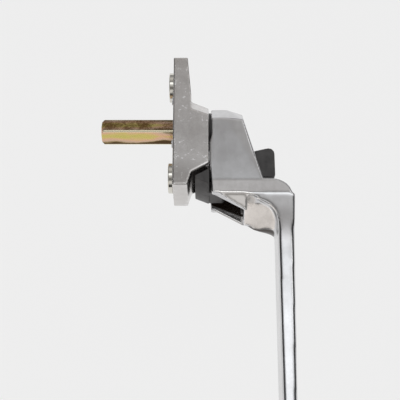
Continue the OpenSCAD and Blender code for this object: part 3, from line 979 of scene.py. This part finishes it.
@dataclass
class CoverScrews:
    """Four small slotted screws that hold the rear cover, in millimetres."""

    head_r: float = 1.71
    head_t: float = 0.5
    head_x: float = -0.27
    shank_r: float = 0.9
    shank_len: float = 4.67
    slot_w: float = 0.5
    slot_reach: float = 2.4
    at: float = 9.9
    head_sides: int = 40
    shank_sides: int = 24

    def build(self, paints: Paints) -> bpy.types.Object:
        """Makes one screw and sets it at the corners of a square.

        Args:
            paints: the materials.

        Returns:
            The finished object.
        """
        tree = GeometryTree("cover_screw_pattern")
        head_r = tree.number("Head Radius", self.head_r * MM)
        shank_r = tree.number("Shank Radius", self.shank_r * MM)
        square = tree.number("Spacing", 2 * self.at * MM)
        head = tree.add("GeometryNodeMeshCylinder")
        tree.feed(head, Vertices=self.head_sides, Radius=head_r, Depth=self.head_t * MM)
        shank = tree.add("GeometryNodeMeshCylinder")
        tree.feed(shank, Vertices=self.shank_sides, Radius=shank_r, Depth=self.shank_len * MM)
        sunk = tree.add("GeometryNodeTransform")
        tree.feed(sunk, Geometry=shank.outputs["Mesh"], Translation=(0.0, 0.0, 0.5 * self.shank_len * MM))
        bar = tree.add("GeometryNodeMeshCube")
        tree.feed(bar, Size=(self.slot_reach * self.head_r * MM, self.slot_w * MM, 0.5 * self.head_t * MM))
        raised = tree.add("GeometryNodeTransform")
        tree.feed(raised, Geometry=bar.outputs["Mesh"], Translation=(0.0, 0.0, -0.5 * self.head_t * MM))
        slotted = tree.add("GeometryNodeMeshBoolean", operation="DIFFERENCE")
        tree.link(head.outputs["Mesh"], slotted.inputs["Mesh 1"])
        tree.link(raised.outputs["Geometry"], slotted.inputs["Mesh 2"])
        screw = tree.add("GeometryNodeJoinGeometry")
        tree.link(slotted.outputs["Mesh"], screw.inputs["Geometry"])
        tree.link(sunk.outputs["Geometry"], screw.inputs["Geometry"])
        corners = tree.add("GeometryNodeMeshGrid")
        tree.feed(corners, Size_X=square, Size_Y=square, Vertices_X=2, Vertices_Y=2)
        place = tree.add("GeometryNodeInstanceOnPoints")
        tree.feed(place, Points=corners.outputs["Mesh"], Instance=screw.outputs["Geometry"])
        lay = tree.add("GeometryNodeTransform")
        tree.feed(lay, Geometry=place.outputs["Instances"], Translation=(self.head_x * MM, 0.0, 0.0),
                  Rotation=(0.0, math.radians(90.0), 0.0))
        tree.end(lay.outputs["Geometry"], paints.of(Finishes.PLATED))
        piece = tree.piece("cover_screws_piece")
        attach(piece, Body.BASE.value)
        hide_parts("cover_screws")
        return piece


@dataclass
class Assembly:
    """A sub-assembly: the pieces that are built anew, and the inner solids that only get a finish."""

    paints: Paints

    def pieces(self) -> tuple[SolidPiece | WireCoils | CoverScrews, ...]:
        """Returns the pieces that are built anew."""
        return ()

    def finishes(self) -> dict[str, Finishes]:
        """Returns the finish of each solid that keeps its own mesh, by node."""
        return {}

    def build(self) -> None:
        """Builds the sub-assembly's pieces and dresses its other solids."""
        for piece in self.pieces():
            piece.build(self.paints)
        for node, finish in self.finishes().items():
            self.dress(node, finish)

    def dress(self, node: str, finish: Finishes) -> None:
        """Gives one solid its finish.

        Args:
            node: the solid's node.
            finish: the finish for all its slots.
        """
        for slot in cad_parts[node].material_slots:
            slot.material = self.paints.of(finish)
        LOG.info("%s: %s", node, finish.value.name)


@dataclass
class BaseAssembly(Assembly):
    """The base casting with its lugs, bush, detents and rear cover, sizes in millimetres."""

    lug_at: float = 21.5
    ball_at: float = 9.28
    spring_start: float = 7.65
    spring_len: float = 4.09
    thread_start: float = -1.9
    thread_len: float = 4.2

    def pieces(self) -> tuple[SolidPiece | WireCoils | CoverScrews, ...]:
        """Returns the casting, the turned lugs with their threads, the detent springs and the screws."""
        return (
            CastPiece("base_plate", Body.BASE, "cast_base", Finishes.BASE_CASTING, passes=5),
            TurnedPiece("fixing_lugs", Body.BASE, "lug_steel", Finishes.TURNED, edge_mm=0.4),
            WireCoils("detent_springs_piece", coil_mm=1.08, wire_mm=0.21, turns=5.0,
                      start_mm=self.spring_start, length_mm=self.spring_len, spread=(0.0, self.ball_at, 0.0),
                      finish=Finishes.BRIGHT, slot="bright_steel", replaces="detent_springs"),
            WireCoils("lug_threads", coil_mm=2.12, wire_mm=0.14, turns=5.5, start_mm=self.thread_start,
                      length_mm=self.thread_len, spread=(0.0, 0.0, self.lug_at), finish=Finishes.BRIGHT,
                      slot="lug_steel"),
            CoverScrews(),
        )

    def finishes(self) -> dict[str, Finishes]:
        """Returns the finishes of the bush, the balls and the cover."""
        return {
            "bearing_bush": Finishes.MOULDED,
            "detent_balls": Finishes.BRIGHT,
            "rear_cover": Finishes.PLATED,
        }


@dataclass
class LeverAssembly(Assembly):
    """The lever casting with everything that turns with it."""

    zones: tuple[SoftZone, ...] = (
        SoftZone(low=(30.5, -20.0, -47.0), high=(39.5, 20.0, -33.2), fade=1.5, passes=16),
        SoftZone(low=(29.5, -20.0, -44.5), high=(35.4, 20.0, -33.6), fade=1.2, passes=90),
        SoftZone(low=(36.5, -20.0, -170.0), high=(70.0, 20.0, -31.0), fade=2.0, passes=30),
        SoftZone(low=(36.5, -20.0, -170.0), high=(70.0, 20.0, -43.0), fade=4.0, passes=60),
    )
    forms: tuple[Flare | BackRim, ...] = (
        Flare(from_x=36.5, fade=2.0, top_z=-32.6, straight=8.0, depth=15.0, half_top=13.0, half_foot=9.0),
        BackRim(back_x=16.0, height=0.88, root=1.6, half_inside=8.6, span_z=(-31.0, -6.0), fades=(12.0, 4.0)),
    )

    def pieces(self) -> tuple[SolidPiece | WireCoils | CoverScrews, ...]:
        """Returns the casting and the spindle."""
        return (
            CastPiece("lever", Body.LEVER, "cast_lever", Finishes.LEVER_CASTING, skin_mm=0.42,
                      zones=self.zones, forms=self.forms),
            TurnedPiece("spindle", Body.LEVER, "yellow_zinc", Finishes.PASSIVATED, edge_mm=0.25, segments=2),
        )

    def finishes(self) -> dict[str, Finishes]:
        """Returns the finishes of the drive, the index disc and the latch's pivot and spring."""
        bright = ("drive_sleeve", "spindle_pin", "wave_washer", "latch_pin", "latch_spring")
        others = {"index_disc": Finishes.PLATED, "retaining_ring": Finishes.DARK}
        return {**{node: Finishes.BRIGHT for node in bright}, **others}


@dataclass
class LatchAssembly(Assembly):
    """The thumb latch, one moulding."""

    skin_mm: float = 0.3
    edge_passes: int = 4

    def pieces(self) -> tuple[SolidPiece | WireCoils | CoverScrews, ...]:
        """Returns the moulding."""
        return (
            CastPiece("thumb_latch", Body.LATCH, "black_plastic", Finishes.MOULDED, skin_mm=self.skin_mm,
                      passes=self.edge_passes),
        )


@dataclass(frozen=True)
class Viewpoint:
    """The photograph's camera, in millimetres and degrees."""

    place: tuple[float, float, float] = (11.3, -298.3, -139.8)
    aim: tuple[float, float, float] = (11.3, 10.05, -27.6)
    lens: float = 68.13
    sensor: float = 36.0
    clip_start: float = 10.0

    def build(self) -> None:
        """Makes the camera and sets it as the scene's own."""
        data = bpy.data.cameras.new("photo_camera")
        data.lens = self.lens
        data.sensor_width = self.sensor
        data.clip_start = self.clip_start * MM
        camera = bpy.data.objects.new("photo_camera", data)
        bpy.context.collection.objects.link(camera)
        camera.location = Vector(self.place) * MM
        towards = (Vector(self.aim) - Vector(self.place)).normalized()
        camera.rotation_euler = towards.to_track_quat("-Z", "Y").to_euler()
        bpy.context.scene.camera = camera


@dataclass(frozen=True)
class SoftBox:
    """A soft rectangular lamp, placed by its turn and tilt from straight in front, in metres and degrees."""

    name: str
    turn: float
    tilt: float
    size: tuple[float, float]
    radiance: float
    colour: tuple[float, float, float] = (1.0, 1.0, 1.0)
    distance: float = 0.9
    aim: tuple[float, float, float] = (0.02, 0.0, -0.05)

    def build(self) -> None:
        """Makes the lamp, with the power that gives its face the wanted radiance."""
        data = bpy.data.lights.new(self.name, "AREA")
        data.shape = "RECTANGLE"
        data.size, data.size_y = self.size
        data.color = self.colour
        data.energy = self.radiance * math.pi * self.size[0] * self.size[1]
        lamp = bpy.data.objects.new(self.name, data)
        bpy.context.collection.objects.link(lamp)
        turn, tilt = math.radians(self.turn), math.radians(self.tilt)
        out = Vector((math.sin(turn) * math.cos(tilt), -math.cos(turn) * math.cos(tilt), math.sin(tilt)))
        lamp.location = Vector(self.aim) + out * self.distance
        lamp.rotation_euler = (-out).to_track_quat("-Z", "Y").to_euler()


@dataclass(frozen=True)
class Skylight:
    """The light of the surroundings, dimmer to the sides.

    Each level has a height above straight in front, in degrees, a brightness and a warmth.
    """

    levels: tuple[tuple[float, float, float], ...] = (
        (-178.0, 0.30, 0.0), (-96.0, 0.06, 0.0), (-74.0, 0.08, 0.0), (-60.0, 0.80, 0.0), (-46.0, 0.90, 0.01),
        (-36.0, 0.30, 0.02), (-25.0, 0.18, 0.02), (-17.0, 0.40, 0.02), (-11.0, 0.60, 0.01), (-5.0, 0.72, 0.0),
        (1.0, 1.02, -0.01), (6.0, 1.74, -0.02), (11.0, 1.66, -0.02), (14.5, 1.46, -0.02), (17.0, 1.02, -0.01),
        (19.5, 0.50, -0.01), (22.0, 0.34, -0.01), (25.0, 0.33, 0.02), (31.0, 0.41, 0.03), (44.0, 0.62, 0.02),
        (54.0, 0.68, 0.02), (64.0, 0.48, 0.0), (76.0, 0.34, 0.0), (92.0, 0.12, 0.0), (110.0, 0.30, 0.0),
    )
    side_from: float = 0.26
    side_to: float = 0.66
    side_level: float = 0.06

    def build(self, tree: NodeTree) -> bpy.types.NodeSocket:
        """Adds the light to the world's tree.

        Args:
            tree: the world's tree.

        Returns:
            The socket of the light's shader.
        """
        place = tree.add("ShaderNodeTexCoord")
        parts = tree.add("ShaderNodeSeparateXYZ")
        tree.link(place.outputs["Generated"], parts.inputs["Vector"])
        front = tree.add("ShaderNodeMath", operation="MULTIPLY")
        tree.link(parts.outputs["Y"], front.inputs[0])
        front.inputs[1].default_value = -1.0
        height = tree.add("ShaderNodeMath", operation="ARCTAN2")
        tree.link(parts.outputs["Z"], height.inputs[0])
        tree.link(front.outputs[0], height.inputs[1])
        share = tree.add("ShaderNodeMapRange")
        tree.feed(share, Value=height.outputs[0], From_Min=-math.pi, From_Max=math.pi)
        ramp = tree.add("ShaderNodeValToRGB")
        stops = ramp.color_ramp.elements
        while len(stops) < len(self.levels):
            stops.new(0.5)
        for stop, (angle, level, warmth) in zip(stops, self.levels):
            stop.position = (angle + 180.0) / 360.0
            stop.color = (level * (1.0 + warmth), level, level * (1.0 - warmth), 1.0)
        tree.link(share.outputs["Result"], ramp.inputs["Fac"])
        aside = tree.add("ShaderNodeMath", operation="ABSOLUTE")
        tree.link(parts.outputs["X"], aside.inputs[0])
        dim = tree.add("ShaderNodeMapRange", interpolation_type="SMOOTHSTEP")
        tree.feed(dim, Value=aside.outputs[0], From_Min=self.side_from, From_Max=self.side_to, To_Min=1.0,
                  To_Max=self.side_level)
        light = tree.add("ShaderNodeBackground")
        tree.feed(light, Color=ramp.outputs["Color"], Strength=dim.outputs["Result"])
        return light.outputs["Background"]


@dataclass
class Studio:
    """The pale paper behind the handle, the lamps and the surroundings.

    The paper is farther off than the turned lever reaches. Its place and half width are in metres.
    """

    floor_y: float = 150.0 * MM
    floor_half: float = 6.0
    floor_colour: tuple[float, float, float] = (0.93, 0.93, 0.93)
    white: float = 0.96
    white_share: float = 0.80
    far_white: float = 0.87
    sky: Skylight = field(default_factory=Skylight)
    boxes: tuple[SoftBox, ...] = (
        SoftBox("right_box", turn=34.0, tilt=24.0, size=(0.16, 0.6), radiance=1.3),
        SoftBox("left_box", turn=-45.0, tilt=-20.0, size=(0.5, 0.3), radiance=0.6),
        SoftBox("warm_box", turn=-73.8, tilt=-43.0, size=(0.5, 0.5), radiance=1.05, colour=(1.0, 0.93, 0.86)),
    )

    def build(self) -> None:
        """Builds the paper, the lamps and the world."""
        self.floor()
        self.world()
        for box in self.boxes:
            box.build()

    def floor(self) -> None:
        """Makes the paper, which shows only from the side that the handle is on."""
        half = self.floor_half
        mesh = bpy.data.meshes.new("floor_mesh")
        corners = [(-half, self.floor_y, -half), (half, self.floor_y, -half),
                   (half, self.floor_y, half), (-half, self.floor_y, half)]
        mesh.from_pydata(corners, [], [(0, 1, 2, 3)])
        floor = bpy.data.objects.new("floor", mesh)
        bpy.context.collection.objects.link(floor)
        made = bpy.data.materials.new("floor_paper")
        made.use_nodes = True
        tree = NodeTree(made.node_tree)
        clear = tree.add("ShaderNodeBsdfTransparent")
        side = tree.add("ShaderNodeNewGeometry")
        choose = tree.add("ShaderNodeMixShader")
        tree.link(side.outputs["Backfacing"], choose.inputs[0])
        tree.link(self.paper(tree), choose.inputs[1])
        tree.link(clear.outputs["BSDF"], choose.inputs[2])
        output = tree.add("ShaderNodeOutputMaterial")
        tree.link(choose.outputs["Shader"], output.inputs["Surface"])
        mesh.materials.append(made)

    def paper(self, tree: NodeTree) -> bpy.types.NodeSocket:
        """Adds the paper's shader, which the camera and reflections see whiter than its light.

        Args:
            tree: the floor material's tree.

        Returns:
            The socket of the shader.
        """
        matt = tree.add("ShaderNodeBsdfDiffuse")
        tree.feed(matt, Color=(*self.floor_colour, 1.0))
        bright = tree.add("ShaderNodeEmission")
        tree.feed(bright, Color=(self.white, self.white, self.white, 1.0), Strength=1.0)
        path = tree.add("ShaderNodeLightPath")
        seen = tree.add("ShaderNodeMath", operation="MAXIMUM")
        tree.link(path.outputs["Is Camera Ray"], seen.inputs[0])
        tree.link(path.outputs["Is Glossy Ray"], seen.inputs[1])
        share = tree.add("ShaderNodeMath", operation="MULTIPLY")
        tree.link(seen.outputs[0], share.inputs[0])
        share.inputs[1].default_value = self.white_share
        mixed = tree.add("ShaderNodeMixShader")
        tree.link(share.outputs[0], mixed.inputs[0])
        tree.link(matt.outputs["BSDF"], mixed.inputs[1])
        tree.link(bright.outputs["Emission"], mixed.inputs[2])
        return mixed.outputs["Shader"]

    def world(self) -> None:
        """Makes the surroundings, which are white to the camera and soft light to everything else."""
        world = bpy.data.worlds.new("studio_world")
        bpy.context.scene.world = world
        world.use_nodes = True
        tree = NodeTree(world.node_tree)
        light = self.sky.build(tree)
        white = tree.add("ShaderNodeBackground")
        tree.feed(white, Color=(self.far_white, self.far_white, self.far_white, 1.0), Strength=1.0)
        path = tree.add("ShaderNodeLightPath")
        choose = tree.add("ShaderNodeMixShader")
        tree.link(path.outputs["Is Camera Ray"], choose.inputs[0])
        tree.link(light, choose.inputs[1])
        tree.link(white.outputs["Background"], choose.inputs[2])
        output = tree.add("ShaderNodeOutputWorld")
        tree.link(choose.outputs["Shader"], output.inputs["Surface"])


def main() -> None:
    """Builds the camera, the studio and the handle."""
    logging.basicConfig(level=logging.INFO, format="%(message)s")
    bpy.context.scene.view_settings.view_transform = "Standard"
    Viewpoint().build()
    Studio().build()
    paints = Paints()
    for assembly in (BaseAssembly(paints), LeverAssembly(paints), LatchAssembly(paints)):
        assembly.build()


if __name__ == "__main__":
    main()
